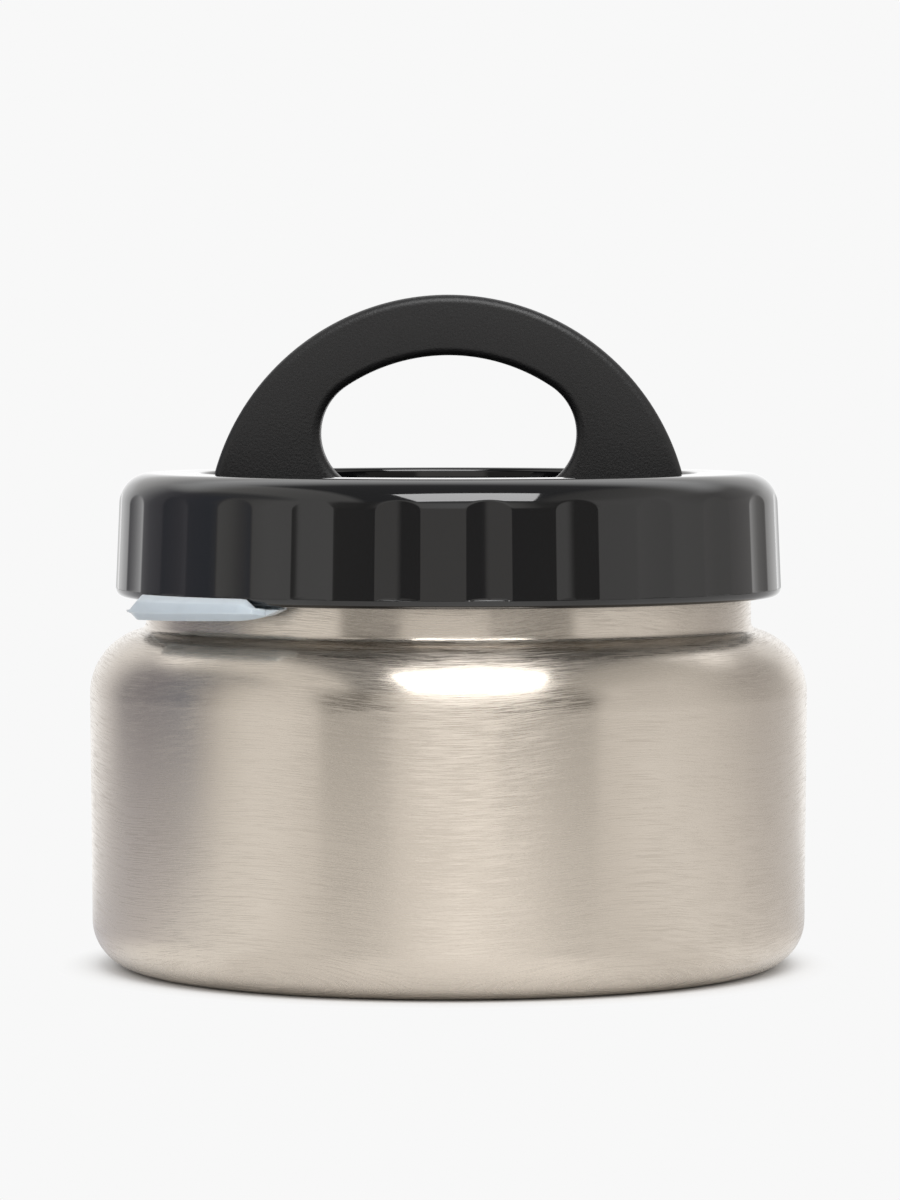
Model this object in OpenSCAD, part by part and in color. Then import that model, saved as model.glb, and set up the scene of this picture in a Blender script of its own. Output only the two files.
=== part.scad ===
// Insulated food jar: a double-walled steel jar with a fluted screw lid, a half-moon
// handle that folds down into the lid, and a silicone seal with a pull tab.
// Millimetres. The origin is the centre of the base, +Z is up and the front faces -Y.

/* [Jar] */
// Outside diameter at the widest place, under the shoulder
body_d = 120; // [112:1:132]
// Height of the centre of the shoulder's arc, where the side wall ends
side_h = 45.6; // [34:0.2:60]
// Loss of radius down the side wall, from the shoulder to the base corner
side_taper = 0.3; // [0:0.1:1]
// Radius of the rounded shoulder
shoulder_r = 11.7; // [10:0.1:13]
// Radius of the rounded corner at the base
corner_r = 8; // [6:0.5:10]
// Outside diameter of the neck
neck_d = 101.3; // [97:0.1:105]
// Height of the rim above the centre of the shoulder's arc
neck_h = 31.6; // [30:0.2:38]
// Radius of the crease where the shoulder turns up into the neck
crease_r = 1.2; // [0.6:0.1:1.8]

/* [Jar walls] */
// Thickness of the outer steel wall
shell_t = 0.6; // [0.4:0.1:0.8]
// Thickness of the inner steel wall
liner_t = 0.5; // [0.4:0.1:0.8]
// Width of the vacuum between the walls at the side
vacuum_gap = 4.8; // [3.6:0.2:6]
// Width of the vacuum between the walls in the neck
neck_gap = 0.7; // [0.4:0.1:1]
// Height of the underside of the inner vessel's floor
liner_floor_h = 7.4; // [6.6:0.2:10]
// Radius of the inner vessel's floor corner
liner_corner_r = 7; // [4:0.5:10]
// Thickness of the rolled lip on the rim
lip_t = 0.6; // [0.4:0.1:1]
// Thickness of the copper foil round the inner vessel
foil_t = 0.15; // [0.1:0.05:0.3]

/* [Base] */
// Radius of the hole in the outer wall's bottom that the base plates close
hem_r = 49; // [44:0.5:50]
// Height of the hem round that hole
hem_h = 3.2; // [2.8:0.2:3.8]
// Thickness of each base plate
plate_t = 0.6; // [0.4:0.1:0.8]
// Height of the underside of the base cover above the resting surface
cover_h = 0.6; // [0.4:0.1:0.9]
// Radius of the dished middle of the base cover
dish_r = 32; // [20:1:40]
// Depth of that dish
dish_depth = 0.6; // [0.3:0.1:0.7]
// Radius of the hole through which the air was drawn out
port_r = 1.5; // [1:0.1:2]
// Radius of the dimple round that hole
dimple_r = 4; // [3:0.5:6]
// Depth of the dimple
dimple_depth = 1.2; // [0.8:0.1:1.5]
// Radius of the getter pill that keeps the vacuum
getter_r = 4.5; // [3:0.5:6]
// Thickness of the getter pill
getter_t = 1.4; // [1:0.1:1.8]
// Distance of the getter pill from the middle
getter_place_r = 24; // [18:1:32]

/* [Lid] */
// Height of the lid
lid_h = 20.5; // [19:0.5:24]
// Thickness of the skirt at its foot
skirt_t = 2.5; // [2:0.1:3.5]
// Draft of the skirt's outside, in degrees
skirt_draft = 2.5; // [1:0.1:4]
// Thickness of the lid's top
top_t = 2.2; // [1.6:0.1:3]
// Radius of the rounded corner round the lid's top
top_corner_r = 4.6; // [3:0.1:6]
// Radius of the rounded foot of the skirt
foot_r = 1.3; // [0.6:0.1:1.4]
// Radius of the round recess that the handle folds into
recess_r = 41.2; // [38:0.1:42]
// Thickness of the recess's wall and floor
cup_t = 1.8; // [1.4:0.1:2]
// Radius of the rounded edge at the recess's mouth
mouth_r = 0.8; // [0.4:0.1:1.2]

/* [Grip flutes] */
// Number of flutes round the skirt
flute_count = 24; // [16:1:28]
// Width of a flute at its foot
flute_w = 7.3; // [4:0.1:8]
// Depth of a flute at its foot
flute_depth = 0.6; // [0.4:0.1:0.8]
// Lean of a flute towards the axis, in degrees
flute_lean = 2.1; // [1.5:0.1:2.5]
// Height of the plain band under the flutes
band_h = 1.8; // [1.4:0.1:3]

/* [Lid liner and seals] */
// Room between the neck and the liner's sleeve, which the screw threads fill
thread_room = 1.35; // [1.2:0.05:1.8]
// Thickness of the sleeve
sleeve_t = 1.1; // [0.9:0.1:1.6]
// Thickness of the flange over the rim
flange_t = 1.6; // [1.2:0.1:2.4]
// Thickness of the plug's wall and floor
plug_t = 1.5; // [1.2:0.1:1.8]
// Chamfer round the plug's foot
plug_chamfer = 1.2; // [0.5:0.1:1.2]
// Thickness of the foam under the recess's floor
foam_t = 4.2; // [3:0.2:6]
// Thickness of the flat gasket on the rim
gasket_t = 0.9; // [0.7:0.1:1.4]
// Height of the seal ring inside the skirt's foot
ring_h = 2.7; // [2:0.1:3.4]

/* [Pull tab] */
// Direction of the tab's free end, in degrees from the front towards the left
tab_start = 65; // [60:1:80]
// Angle that the tab spans, in degrees
tab_span = 32; // [20:1:50]
// Angle that its thin root spans beyond that, in degrees
root_span = 5; // [4:1:12]
// Height of the tab's top edge above the skirt's foot
tab_rise = 1.3; // [1:0.1:2.5]
// Height of the tab
tab_h = 3.9; // [3:0.1:4.4]
// Distance that the tab's ridge stands out from the skirt
tab_out = 1.7; // [1.2:0.1:3.2]

/* [Handle] */
// Drop of the hinge axis below the lid's top
pivot_drop = 10.8; // [9:0.1:12]
// Thickness of the handle
handle_t = 8; // [6.5:0.5:9]
// Radius of the handle's rounded edges
handle_edge_r = 1.5; // [0.5:0.1:2.5]
// Half the length of the finger opening
opening_a = 21.4; // [16:0.2:26]
// Half the height of the finger opening
opening_b = 13.1; // [11:0.1:14]
// Radius of the opening's rounded ends
opening_end_r = 9.5; // [8:0.1:10]
// Height of the opening's middle above the hinge axis
opening_rise = 17.3; // [17.1:0.1:21]
// Radius of the hinge pins
pin_r = 1.25; // [1:0.05:1.6]
// Depth that a pin reaches into the handle
pin_depth = 5; // [3:0.5:9]
// Radius of the boss round each pin
boss_r = 3.2; // [2.6:0.1:3.6]
// Distance that each boss stands out behind the recess's wall
boss_reach = 3.6; // [2:0.1:3.7]
// Outside radius of the friction washers on the pins
washer_r = 3; // [2.2:0.1:3.4]
// Thickness of the friction washers
washer_t = 0.45; // [0.3:0.05:0.5]

/* [Clearances] */
// Gap between the handle's rim and the recess's wall
handle_gap = 0.7; // [0.65:0.05:1.2]
// Gap between the handle, folded flat, and the recess's floor
floor_gap = 0.5; // [0.3:0.1:1]
// Gap round a soft piece
soft_gap = 0.3; // [0.2:0.05:0.35]
// Gap between pieces that are pressed or welded together
seat_gap = 0.05; // [0.02:0.01:0.08]
// Gap between a pin and the bore that turns on it
running_gap = 0.05; // [0.02:0.01:0.08]
// Gap between the plug and the inside of the neck
plug_gap = 0.45; // [0.3:0.05:0.6]
// Gap between the seal ring and the neck
wiper_gap = 0.65; // [0.5:0.05:0.8]

/* [Hidden] */
$fn = 96;

// A length that carries a cut or a joint safely past a face
past = 1;
// Steps along the crease's fillet, and how far its foot sinks into the shoulder
crease_steps = 8;
crease_sink = 0.02;
// Steps along each of the finger opening's four arcs, and the angles, in degrees, of the
// bevels that round its edges
opening_steps = 12;
opening_bevels = [30, 60];
// Thickness of the sheets that a cutter is stretched between
sheet = 0.01;

// Jar
body_r = body_d / 2;
neck_r = neck_d / 2;
shoulder_at = [body_r - shoulder_r, side_h];
rim_z = side_h + neck_h;
lip_r = neck_r - shell_t - neck_gap - liner_t;
wall_gap = shell_t + vacuum_gap;
liner_neck_r = lip_r + liner_t;
liner_body_r = body_r - wall_gap;
foil_margin = 1;
foil_z = [liner_floor_h + liner_corner_r + foil_margin, side_h - foil_margin];

// Base
cover_r = hem_r - seat_gap;
plate_z = hem_h - plate_t;
clip_t = 0.3;
clip_z = hem_h + seat_gap;

// Lid, from the rim upwards and from the neck outwards
flange_z = rim_z + 2 * soft_gap + gasket_t;
lid_top_z = flange_z + flange_t + seat_gap + top_t;
lid_z = lid_top_z - lid_h;
sleeve_in_r = neck_r + thread_room;
sleeve_out_r = sleeve_in_r + sleeve_t;
skirt_in_r = sleeve_out_r + seat_gap;
lid_r = skirt_in_r + skirt_t;
lid_top_r = lid_r - (lid_h - foot_r - top_corner_r) * tan(skirt_draft);
plug_out_r = lip_r - plug_gap;
plug_in_r = plug_out_r - plug_t;
cup_out_r = recess_r + cup_t;

// Handle and what it folds into
pivot_z = lid_top_z - pivot_drop;
handle_r = recess_r - handle_gap;
recess_z = pivot_z - handle_t / 2 - floor_gap;
cup_z = recess_z - cup_t;
plug_floor_z = cup_z - foam_t - 2 * soft_gap;
plug_z = plug_floor_z - plug_t;
pin_x = [handle_r - pin_depth, cup_out_r + boss_reach];

// Seal ring and pull tab, in the skirt's foot
ring_z = lid_z + soft_gap;
sleeve_z = ring_z + ring_h + soft_gap;
ring_r = [neck_r + wiper_gap, skirt_in_r - soft_gap];
tab_in_r = lid_r + soft_gap;
tab_top_z = lid_z + tab_rise;
tab_foot_z = tab_top_z - tab_h;
web_top_z = lid_z - soft_gap;
// Distance that the tab's section draws in from the ring's, and its root's from the tab's
tab_ease = 0.15;

// Direction, in degrees, of the normal to the straight line that touches two circles
// on their outer side, the second circle above the first
function tangent_angle(low, low_r, high, high_r) =
    atan2(high.y - low.y, high.x - low.x) - acos((low_r - high_r) / norm(high - low));

// Point on a circle at an angle in degrees
function on_circle(centre, r, angle) = centre + r * [cos(angle), sin(angle)];

module disc_at(centre, r) {
    translate(centre) circle(r = r);
}

// A rectangle between two corners
module block_2d(low, high) {
    translate(low) square(high - low);
}

// The outline of a solid with a rounded lower corner, a side that touches both arcs and
// a rounded upper corner, from the axis to its outside
module tangent_outline(low, low_r, high, high_r) {
    touch = tangent_angle(low, low_r, high, high_r);
    polygon([
        [0, low.y - low_r], [low.x, low.y - low_r], low, on_circle(low, low_r, touch),
        on_circle(high, high_r, touch), high, [high.x, high.y + high_r],
        [0, high.y + high_r]
    ]);
    disc_at(low, low_r);
    disc_at(high, high_r);
}

// The outline of a neck that flares through a concave fillet into the shoulder's arc
module neck_outline(neck, arc_at, arc_r, r, top_z) {
    reach = max(0, neck + r - arc_at.x);
    centre = [neck + r, arc_at.y + sqrt(pow(arc_r + r, 2) - pow(reach, 2))];
    touch = reach > 0 ? atan2(centre.y - arc_at.y, reach) : 90;
    polygon([
        [0, arc_at.y], on_circle(arc_at, arc_r / 2, touch),
        for (i = [crease_steps : -1 : 0])
            on_circle(centre, r + crease_sink * i / crease_steps,
                180 + touch * i / crease_steps),
        [neck, top_z], [0, top_z]
    ]);
}

// The outline of a jar from its axis to its outside: base corner, side, shoulder and neck
module jar_outline(foot, base_z, corner, arc_r, neck, crease_r, top_z) {
    tangent_outline([foot - corner, base_z + corner], corner, shoulder_at, arc_r);
    neck_outline(neck, shoulder_at, arc_r, crease_r, top_z);
}

// The outer wall's outline, moved in by a wall's thickness
module outer_outline(inset, top_z) {
    jar_outline(body_r - side_taper - inset, inset, corner_r - inset,
        shoulder_r - inset, neck_r - inset, crease_r + inset, top_z);
}

// The inner vessel's outline, moved in by a wall's thickness
module liner_outline(inset, top_z) {
    jar_outline(liner_body_r - side_taper - inset, liner_floor_h + inset,
        liner_corner_r - inset, shoulder_r - wall_gap - inset,
        liner_neck_r - inset, crease_r + inset, top_z);
}

// Outer steel wall, spun in one piece from the rim to the hem under the base
module outer_shell() {
    color("#b9b3ab") rotate_extrude() {
        difference() {
            outer_outline(0, rim_z - lip_t - seat_gap);
            outer_outline(shell_t, rim_z);
            block_2d([0, -past], [hem_r, hem_h]);
        }
        block_2d([hem_r, 0], [hem_r + shell_t, hem_h]);
    }
}

// Inner steel vessel with the rolled lip that closes the gap between the walls
module inner_liner() {
    color("#c9c6c2") rotate_extrude() {
        difference() {
            liner_outline(0, rim_z - lip_t / 2);
            liner_outline(liner_t, rim_z);
        }
        block_2d([lip_r, rim_z - lip_t], [neck_r - lip_t / 2, rim_z]);
        disc_at([neck_r - lip_t / 2, rim_z - lip_t / 2], lip_t / 2);
    }
}

// Copper foil wrapped round the inner vessel, which holds back radiated heat
module radiation_foil() {
    foil_r = liner_body_r + seat_gap;
    color("#b8734a") rotate_extrude()
        block_2d([foil_r, foil_z[0]], [foil_r + foil_t, foil_z[1]]);
}

// Steel plate that closes the vacuum, with a dimple round the port
module vacuum_base() {
    dimple_z = plate_z + dimple_depth;
    color("#aaa7a3") rotate_extrude() {
        block_2d([dimple_r, plate_z], [cover_r, hem_h]);
        block_2d([dimple_r, plate_z], [dimple_r + plate_t, dimple_z]);
        block_2d([port_r, dimple_z], [dimple_r + plate_t, dimple_z + plate_t]);
    }
}

// Bead of solder glass in the dimple that seals the port
module port_seal() {
    bead_z = plate_z + dimple_depth;
    bead_r = dimple_r - soft_gap;
    color("#4f6b62") rotate_extrude() {
        block_2d([0, bead_z - seat_gap], [port_r - seat_gap, bead_z + plate_t]);
        intersection() {
            block_2d([0, plate_z], [bead_r, bead_z - seat_gap]);
            disc_at([0, bead_z - seat_gap], bead_r - port_r);
        }
    }
}

// Spring steel cup, welded to the base plate, that holds the getter pill
module getter_clip() {
    cup_r = getter_r + seat_gap;
    translate([getter_place_r, 0, clip_z]) color("#8f8f92") difference() {
        cylinder(r = cup_r + clip_t, h = getter_t);
        translate([0, 0, clip_t]) cylinder(r = cup_r, h = getter_t);
        for (side = [0, 90])
            rotate([0, 0, side])
                translate([-getter_r * 2, -getter_r / 3, clip_t])
                    cube([getter_r * 4, getter_r * 2 / 3, getter_t]);
    }
}

// Pill of getter metal that soaks up stray gas in the vacuum
module getter_pill() {
    translate([getter_place_r, 0, clip_z + clip_t + seat_gap]) color("#5d5f63")
        cylinder(r = getter_r, h = getter_t);
}

// Outer steel cover of the base, dished in the middle
module base_cover() {
    slope = dish_depth;
    color("#b3aea7") rotate_extrude() polygon([
        [0, cover_h + dish_depth], [dish_r - slope, cover_h + dish_depth],
        [dish_r, cover_h], [cover_r, cover_h],
        [cover_r, cover_h + plate_t], [dish_r, cover_h + plate_t],
        [dish_r - slope, cover_h + dish_depth + plate_t],
        [0, cover_h + dish_depth + plate_t]
    ]);
}

// Outline of the lid from its axis to its outside: rounded foot, drafted skirt and
// rounded top corner
module lid_outline() {
    foot = [lid_r - foot_r, lid_z + foot_r];
    corner = [lid_top_r - top_corner_r, lid_top_z - top_corner_r];
    polygon([
        [0, lid_z], [foot.x, lid_z], [lid_r, foot.y],
        [lid_top_r, corner.y], [corner.x, lid_top_z], [0, lid_top_z]
    ]);
    disc_at(foot, foot_r);
    disc_at(corner, top_corner_r);
}

// Section of the lid before the flutes are cut
module lid_section() {
    under_top = lid_top_z - top_t;
    difference() {
        lid_outline();
        block_2d([0, recess_z], [recess_r, lid_top_z + past]);
        block_2d([cup_out_r, lid_z - past], [skirt_in_r, under_top]);
        block_2d([0, lid_z - past], [cup_out_r + past, cup_z]);
        difference() {
            block_2d([recess_r - past, lid_top_z - mouth_r],
                [recess_r + mouth_r, lid_top_z + past]);
            disc_at([recess_r + mouth_r, lid_top_z - mouth_r], mouth_r);
        }
    }
}

// Scallops cut into the skirt: each runs out in an arch where the top corner begins and
// stops square at the plain band
module flutes() {
    skirt_bulge = lid_r - sqrt(pow(lid_r, 2) - pow(flute_w / 2, 2));
    cut_bulge = flute_depth - skirt_bulge;
    cutter_r = (pow(flute_w / 2, 2) + pow(cut_bulge, 2)) / (2 * cut_bulge);
    for (i = [0 : flute_count - 1])
        rotate([0, 0, (i + 0.5) * 360 / flute_count])
            translate([lid_r - flute_depth + cutter_r, 0, lid_z + band_h])
                rotate([0, -flute_lean, 0])
                    cylinder(r = cutter_r, h = lid_h);
}

// Boss behind the recess's wall that holds one hinge pin
module pin_boss() {
    translate([recess_r + cup_t / 2, 0, pivot_z]) rotate([0, 90, 0])
        cylinder(r = boss_r, h = pin_x[1] - recess_r - cup_t / 2);
}

// Gloss moulded lid with its fluted skirt, handle recess and hinge bosses
module lid_shell() {
    color("#222226") difference() {
        union() {
            rotate_extrude() lid_section();
            for (side = [0, 180]) rotate([0, 0, side]) pin_boss();
        }
        flutes();
        translate([-lid_r / 2 - recess_r / 2, 0, pivot_z]) rotate([0, 90, 0])
            cylinder(r = pin_r + seat_gap / 2, h = lid_r + recess_r);
    }
}

// Inner moulding of the lid: the sleeve round the neck, the flange over the rim and the
// plug that fills the mouth
module lid_liner() {
    flange_top = flange_z + flange_t;
    color("#2c2c30") rotate_extrude() polygon([
        [0, plug_z], [plug_out_r - plug_chamfer, plug_z],
        [plug_out_r, plug_z + plug_chamfer], [plug_out_r, flange_z],
        [sleeve_in_r, flange_z], [sleeve_in_r, sleeve_z],
        [sleeve_out_r, sleeve_z], [sleeve_out_r, flange_top],
        [plug_in_r, flange_top], [plug_in_r, plug_floor_z], [0, plug_floor_z]
    ]);
}

// Foam between the recess and the plug
module lid_foam() {
    low = plug_floor_z + soft_gap;
    color("#e8e4d8") rotate_extrude() {
        block_2d([0, low], [plug_in_r - soft_gap, low + foam_t]);
        block_2d([cup_out_r + soft_gap, low],
            [plug_in_r - soft_gap, pivot_z - boss_r - soft_gap]);
    }
}

// Section of the tab: a bar with a ridge outside the skirt, a web under the skirt and a
// riser up into the seal ring
module tab_section() {
    ridge_z = tab_foot_z + tab_h / 3;
    riser_r = [ring_r[0] + tab_ease, ring_r[1] - tab_ease];
    polygon([
        [riser_r[0], tab_foot_z], [tab_in_r + tab_out * 2 / 3, tab_foot_z],
        [tab_in_r + tab_out, ridge_z], [tab_in_r + tab_out / 4, tab_top_z],
        [tab_in_r, tab_top_z], [tab_in_r, web_top_z], [riser_r[1], web_top_z],
        [riser_r[1], ring_z + ring_h / 2], [riser_r[0], ring_z + ring_h / 2]
    ]);
}

// Section of the tab's thin root, which runs on beside it under the skirt
module root_section() {
    polygon([
        [ring_r[0] + 2 * tab_ease, tab_foot_z + 2 * tab_ease],
        [lid_r - foot_r, tab_foot_z + 2 * tab_ease],
        [lid_r - foot_r / 2, web_top_z - tab_ease],
        [ring_r[1] - 2 * tab_ease, web_top_z - tab_ease],
        [ring_r[1] - 2 * tab_ease, ring_z + ring_h / 3],
        [ring_r[0] + 2 * tab_ease, ring_z + ring_h / 3]
    ]);
}

// Silicone seal ring in the skirt's foot with its pull tab
module tab_seal() {
    tab_turn = -90 - tab_start;
    color("#bfcfd8") {
        rotate_extrude()
            block_2d([ring_r[0], ring_z], [ring_r[1], ring_z + ring_h]);
        rotate([0, 0, tab_turn]) rotate_extrude(angle = tab_span) tab_section();
        rotate([0, 0, tab_turn + root_span]) rotate_extrude(angle = tab_span)
            root_section();
    }
}

// Flat silicone gasket between the rim and the flange
module rim_gasket() {
    color("#d9dde0") rotate_extrude()
        block_2d([plug_out_r + soft_gap, rim_z + soft_gap],
            [sleeve_in_r - soft_gap, rim_z + soft_gap + gasket_t]);
}

// Steel pin that one leg of the handle turns on
module hinge_pin(side) {
    rotate([0, 0, side]) translate([pin_x[0], 0, pivot_z]) rotate([0, 90, 0])
        color("#a9a9ad") cylinder(r = pin_r, h = pin_x[1] - pin_x[0]);
}

// Thin washer that grips the handle's leg, so that it stays where it is put
module friction_washer(side) {
    middle_x = handle_r + handle_gap / 2;
    rotate([0, 0, side]) translate([middle_x - washer_t / 2 - seat_gap, 0, pivot_z])
        rotate([0, 90, 0]) color("#e9e7e0") difference() {
            cylinder(r = washer_r, h = washer_t);
            translate([0, 0, -past])
                cylinder(r = pin_r + running_gap, h = washer_t + 2 * past);
        }
}

// Half section of a plate with a rounded rim: reach is where the rim ends
module rounded_end(reach) {
    half_t = handle_t / 2;
    flat = half_t - handle_edge_r;
    block_2d([0, -half_t], [reach - handle_edge_r, half_t]);
    block_2d([0, -flat], [reach, flat]);
    for (side = [-1, 1]) disc_at([reach - handle_edge_r, side * flat], handle_edge_r);
}

// Points along an arc, without its last point
function arc_points(centre, r, start, span) =
    [for (i = [0 : opening_steps - 1]) on_circle(centre, r, start + span * i / opening_steps)];

// Outline of the finger opening, an oval of four arcs that meet smoothly, grown by a
// distance on all sides
function opening_points(grow) =
    let (
        end_x = opening_a - opening_end_r,
        long_r = (pow(end_x, 2) + pow(opening_b, 2) - pow(opening_end_r, 2))
            / (2 * (opening_b - opening_end_r)),
        long_y = long_r - opening_b,
        half_turn = atan2(long_y, end_x)
    )
    concat(
        arc_points([end_x, 0], opening_end_r + grow, -half_turn, 2 * half_turn),
        arc_points([0, -long_y], long_r + grow, half_turn, 180 - 2 * half_turn),
        arc_points([-end_x, 0], opening_end_r + grow, 180 - half_turn, 2 * half_turn),
        arc_points([0, long_y], long_r + grow, 180 + half_turn, 180 - 2 * half_turn)
    );

// Cutter that takes one bevel off the opening's edge: its slanted wall touches the
// edge's rounding where the rounding has turned through an angle
module opening_bevel(angle) {
    start = handle_edge_r / 4;
    touch = [1 - cos(angle), sin(angle) - 1] * handle_edge_r + [0, handle_t / 2];
    low = touch.y - (touch.x + start) / tan(angle);
    high = handle_t / 2 + past;
    hull() {
        translate([0, 0, low]) linear_extrude(sheet) polygon(opening_points(-start));
        translate([0, 0, high]) linear_extrude(sheet)
            polygon(opening_points(touch.x + (high - touch.y) * tan(angle)));
    }
}

// Cutter for the finger opening with its rounded edges
module finger_opening() {
    translate([0, 0, -handle_t]) linear_extrude(2 * handle_t)
        polygon(opening_points(0));
    for (side = [0, 1], angle = opening_bevels) mirror([0, 0, side]) opening_bevel(angle);
}

// Half-moon handle: a half disc that ends in a round bar on the hinge axis
module handle() {
    color("#1f2022") translate([0, 0, pivot_z]) rotate([90, 0, 0]) difference() {
        union() {
            rotate_extrude(angle = 180) rounded_end(handle_r);
            rotate([0, 90, 0]) rotate([0, 0, 180]) rotate_extrude(angle = 180)
                rotate([0, 0, 90]) mirrored_bar();
        }
        translate([0, opening_rise, 0]) finger_opening();
        for (side = [-1, 1])
            translate([side * (handle_r + past), 0, 0]) rotate([0, -side * 90, 0])
                cylinder(r = pin_r + running_gap, h = pin_depth + soft_gap + past);
    }
}

// The half section of the bar on the hinge axis, the same width as the handle's plate
module mirrored_bar() {
    intersection() {
        union() {
            rounded_end(handle_r);
            mirror([1, 0]) rounded_end(handle_r);
        }
        block_2d([-handle_r, -handle_t / 2], [handle_r, 0]);
    }
}

outer_shell();
inner_liner();
radiation_foil();
vacuum_base();
port_seal();
getter_clip();
getter_pill();
base_cover();
lid_shell();
lid_liner();
lid_foam();
tab_seal();
rim_gasket();
hinge_pin(180);  // hinge_pin_left
hinge_pin(0);  // hinge_pin_right
friction_washer(180);  // friction_washer_left
friction_washer(0);  // friction_washer_right
handle();
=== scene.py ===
"""The insulated food jar's looks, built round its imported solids."""

import math

import bmesh
import bpy
import numpy as np
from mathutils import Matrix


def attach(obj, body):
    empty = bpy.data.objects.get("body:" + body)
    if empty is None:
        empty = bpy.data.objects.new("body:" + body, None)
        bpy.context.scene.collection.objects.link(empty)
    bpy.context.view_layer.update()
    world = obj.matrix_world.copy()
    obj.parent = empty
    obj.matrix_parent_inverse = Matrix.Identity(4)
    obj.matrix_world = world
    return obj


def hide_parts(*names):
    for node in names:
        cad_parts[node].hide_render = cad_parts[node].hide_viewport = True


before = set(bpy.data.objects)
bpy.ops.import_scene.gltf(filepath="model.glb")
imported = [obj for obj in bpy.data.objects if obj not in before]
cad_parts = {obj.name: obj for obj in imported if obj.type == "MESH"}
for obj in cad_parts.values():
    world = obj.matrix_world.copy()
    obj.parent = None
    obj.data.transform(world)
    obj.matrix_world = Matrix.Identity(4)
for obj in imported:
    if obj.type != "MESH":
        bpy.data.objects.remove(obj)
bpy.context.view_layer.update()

MM = 0.001

# ---- Sizes, in millimetres ----

# They are the solids' own, but the shoulder, the crease, the lid's rounded top edge and the
# flutes follow the photograph more closely, by up to 0.6 mm

# Jar: outer wall, then inner vessel
BODY_R, SIDE_TAPER, CORNER_R = 60.0, 0.3, 8.0
SHOULDER_AT, SHOULDER_R = (49.0, 45.7), 11.0
NECK_R, CREASE_R, WALL_T = 50.65, 1.4, 0.6
HEM_R, HEM_H, HEM_EDGE = 49.0, 3.2, 0.4
RIM_Z, LIP_T, LIP_R, LIP_H, LIP_EDGE = 77.2, 0.6, 48.85, 2.0, 0.3
SHELL_TOP_Z = 76.55
LINER_R, LINER_Z, LINER_CORNER, LINER_T = 54.6, 7.4, 7.0, 0.5
LINER_SHOULDER_R = 5.6
# Base cover
COVER_R, COVER_Z, COVER_T, DISH_R, DISH_DEPTH = 48.95, 0.6, 0.6, 32.0, 0.6
DISH_EDGE, COVER_EDGE = 0.8, 0.2
# Lid
LID_R, LID_Z, LID_TOP, FOOT_R = 55.65, 62.05, 82.55, 1.3
CORNER_AT, TOP_CORNER_R, DRAFT = (49.84, 77.35), 5.2, 2.5
SKIRT_IN_R, UNDER_TOP = 53.15, 80.35
RECESS_R, RECESS_Z, MOUTH_R = 41.2, 67.25, 0.8
CUP_R, CUP_Z = 43.0, 65.45
CUP_EDGE, SKIRT_EDGE, RECESS_EDGE = 1.0, 0.4, 0.7
# Grip flutes
FLUTES, FLUTE_W, FLUTE_DEPTH, FLUTE_LEAN, BAND_H = 24, 7.3, 0.3, 2.45, 1.4
FLUTE_EDGE, BAND_EDGE = 0.08, 0.06
# Lid liner
SLEEVE = (52.0, 53.1)
SLEEVE_Z, FLANGE_Z, FLANGE_TOP = 65.35, 78.7, 80.3
PLUG_R = (46.9, 48.4)
PLUG_Z, PLUG_FLOOR_Z, PLUG_CHAMFER = 59.15, 60.65, 1.2
PLUG_EDGE, FLANGE_EDGE, SLEEVE_EDGE, PLUG_FLOOR_EDGE = 0.5, 0.4, 0.25, 1.0
# Screw thread of four starts: the ribs' width, then for the neck and for the lid how far they
# wind in degrees, how high they stand, how high they start and at which angle
STARTS, LEAD, RIB_W = 4, 20.0, 2.0
NECK_RIBS = (110.0, 1.1, 67.0, 0.0)
LID_RIBS = (105.0, 1.05, 65.1 + LEAD * 25 / 360, 25.0)
# Rim gasket
GASKET_R, GASKET_Z, GASKET_EDGE = (48.7, 51.7), (77.5, 78.4), 0.25
# Seal ring and tab: the riser's walls and top, the web's top, the bar's back
RISER_R, RISER_TOP, WEB_TOP, BAR_BACK_R, TAB_EDGE = (52.15, 52.75), 63.5, 61.7, 55.97, 0.12
# Handle
PIVOT_Z, HANDLE_R, HANDLE_T, EDGE_R = 71.75, 40.5, 8.0, 1.5
OPENING_A, OPENING_B, OPENING_END, OPENING_Z = 21.4, 13.1, 9.5, 17.3


# ---- Mesh ----

# Points closer than this are one, and shorter edges than this are none, in metres
SAME_POINT, NO_EDGE = 1e-6, 1e-7
# Faces that meet at more than this many degrees have a sharp edge
SHARP = 32
# Angles of the columns of a turned piece, in degrees
ALL_ROUND = np.arange(256) * 360 / 256


def arc(centre, r, start, end, steps=12):
    """Points along an arc from one angle to another, in degrees, both ends included."""
    turns = np.radians(np.linspace(start, end, steps + 1))
    return [(centre[0] + r * math.cos(t), centre[1] + r * math.sin(t)) for t in turns]


def soften(points, radii, steps=5):
    """A polyline with its corners rounded; radii gives each corner's radius."""
    made = []
    for i, p in enumerate(points):
        if not radii.get(i):
            made.append(p)
            continue
        at, before, after = (np.array(q, float) for q in (p, points[i - 1], points[i + 1]))
        a, b = before - at, after - at
        a, b = a / np.linalg.norm(a), b / np.linalg.norm(b)
        half = math.acos(np.clip(a @ b, -1, 1)) / 2
        reach = radii[i] / math.tan(half)
        centre = at + (a + b) / np.linalg.norm(a + b) * radii[i] / math.sin(half)
        first, last = at + a * reach - centre, at + b * reach - centre
        start = math.atan2(first[1], first[0])
        turn = math.atan2(last[1], last[0]) - start
        turn = (turn + math.pi) % (2 * math.pi) - math.pi
        made += [(centre[0] + radii[i] * math.cos(start + turn * k / steps),
                  centre[1] + radii[i] * math.sin(start + turn * k / steps))
                 for k in range(steps + 1)]
    return made


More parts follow.
